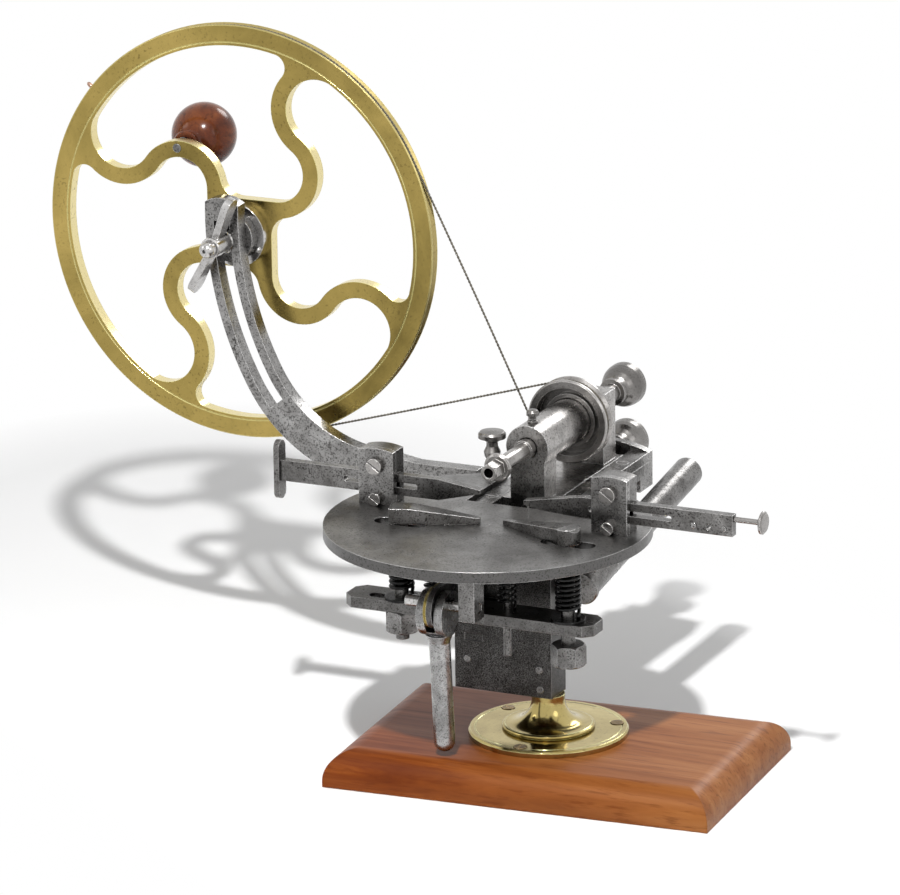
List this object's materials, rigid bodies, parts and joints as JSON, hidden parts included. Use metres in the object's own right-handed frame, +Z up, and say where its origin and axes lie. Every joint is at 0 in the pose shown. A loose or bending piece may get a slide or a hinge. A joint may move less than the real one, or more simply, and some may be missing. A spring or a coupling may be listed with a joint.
{
  "type": "wheel cutting engine",
  "caption": "Bench-top wheel cutting engine: round work table with sprung clamp fingers, sliding tool posts and a cord-driven cutter spindle turned by a spoked hand wheel.",
  "frame": {"origin": "centre of the board's underside, on the bench", "axes": "+X to the right along the tool slides, +Y away from the user along the spindle, +Z up"},
  "size_m": [0.3796, 0.2245, 0.3003],
  "materials": {
    "board_wood": "polished hardwood",
    "knob_wood": "polished hardwood",
    "bright_brass": "polished",
    "brass": "worn polish",
    "screw_brass": "coppery",
    "bush_bronze": "bored",
    "steel": "aged, mottled",
    "dark_steel": "dark, oiled",
    "bright_steel": "polished",
    "table_steel": "worn satin",
    "pitted_steel": "pitted",
    "black_steel": "blackened",
    "cord": "twisted gut line"
  },
  "bodies": {
    "frame": {"base_board": "board_wood", "pedestal": "bright_brass", "pedestal_screws": "screw_brass", "column": "pitted_steel", "column_pins": "steel", "table": "table_steel", "cam_hanger": "steel", "cam_pin": "bright_steel", "guide_pins": "steel", "left_post": "steel", "right_post": "steel", "post_caps": "steel", "post_screws": "bright_steel", "bed": "steel", "gib_strips": "steel", "gib_screws": "bright_steel", "bed_end_plate": "steel", "arm_bracket": "dark_steel", "wheel_arm": "steel", "wheel_axle": "bright_steel", "axle_collar": "dark_steel", "axle_nut": "steel", "rear_handle": "steel", "handle_lug": "dark_steel", "drive_cord": "cord", "clamp_springs": "black_steel", "guide_springs": "black_steel"},
    "clamp": {"clamp_bar": "steel", "finger_bolts": "dark_steel", "bolt_nuts": "dark_steel", "spring_washers": "black_steel", "left_finger": "steel", "right_finger": "steel", "lift_link": "dark_steel", "link_liner": "brass"},
    "lever": {"cam_lever": "steel"},
    "left_tool_slide": {"left_slide_bar": "dark_steel", "left_cross_plate": "dark_steel"},
    "right_tool_slide": {"right_slide_bar": "dark_steel", "slide_rivets": "bright_steel", "index_pin": "bright_steel"},
    "plunger_rod": {"plunger": "bright_steel"},
    "headstock_carriage": {"headstock": "steel", "front_bush": "bush_bronze", "rear_bush": "bush_bronze", "oil_cap": "bright_steel"},
    "cutter_spindle": {"spindle": "bright_steel", "drive_pulley": "steel", "draw_knob": "bright_steel"},
    "feed": {"feed_screw": "steel", "feed_knob": "bright_steel"},
    "wheel": {"drive_wheel": "brass", "hub_plate": "steel", "knob_pin": "bright_steel"},
    "knob": {"ball_knob": "knob_wood"},
    "clamp_nut": {"wing_nut": "steel"},
    "arm_screw": {"thumb_screw": "bright_steel"}
  },
  "joints": [
    {"name": "lever_swing", "type": "hinge", "parent": "frame", "child": "lever", "pos_m": [-0.034, -0.048, 0.0858], "axis": [-1, 0, 0], "range_deg": [0, 60.1]},
    {"name": "clamp_lift", "type": "slide", "parent": "frame", "child": "clamp", "axis": [0, 0, 1], "range_m": [0, 0.0025], "deforming": ["clamp_springs", "guide_springs"]},
    {"name": "left_slide", "type": "slide", "parent": "frame", "child": "left_tool_slide", "axis": [1, 0, 0], "range_m": [-0.017, 0.014]},
    {"name": "right_slide", "type": "slide", "parent": "frame", "child": "right_tool_slide", "axis": [1, 0, 0], "range_m": [-0.014, 0.009]},
    {"name": "plunger_push", "type": "slide", "parent": "right_tool_slide", "child": "plunger_rod", "axis": [1, 0, 0], "range_m": [-0.008, 0]},
    {"name": "feed_screw_turn", "type": "hinge", "parent": "frame", "child": "feed", "pos_m": [-0.025, 0.115, 0.1084], "axis": [0, 1, 0], "range_deg": [-2160.5, 1080.5]},
    {"name": "headstock_slide", "type": "slide", "parent": "frame", "child": "headstock_carriage", "axis": [0, 1, 0], "range_m": [-0.012, 0.006], "deforming": ["drive_cord"]},
    {"name": "wheel_spin", "type": "hinge", "parent": "frame", "child": "wheel", "pos_m": [-0.18466, 0.0725, 0.20526], "axis": [0, 1, 0], "continuous": true},
    {"name": "spindle_spin", "type": "hinge", "parent": "headstock_carriage", "child": "cutter_spindle", "pos_m": [-0.025, 0.0725, 0.1354], "axis": [0, 1, 0], "continuous": true},
    {"name": "knob_spin", "type": "hinge", "parent": "wheel", "child": "knob", "pos_m": [-0.21512, 0.0945, 0.24132], "axis": [0, 1, 0], "continuous": true},
    {"name": "wing_nut_turn", "type": "hinge", "parent": "frame", "child": "clamp_nut", "pos_m": [-0.18466, 0.0468, 0.20526], "axis": [0, 1, 0], "range_deg": [-180, 180]},
    {"name": "thumb_screw_turn", "type": "hinge", "parent": "frame", "child": "arm_screw", "pos_m": [-0.0556, 0.0563, 0.1118], "axis": [0, 0, 1], "range_deg": [-180, 180]}
  ],
  "couplings": [
    {"joint": "lever_swing", "follows": "clamp_lift", "rad_per_m": 418.88},
    {"joint": "feed_screw_turn", "follows": "headstock_slide", "rad_per_m": 3141.6},
    {"joint": "spindle_spin", "follows": "wheel_spin", "ratio": -5.2333}
  ]
}
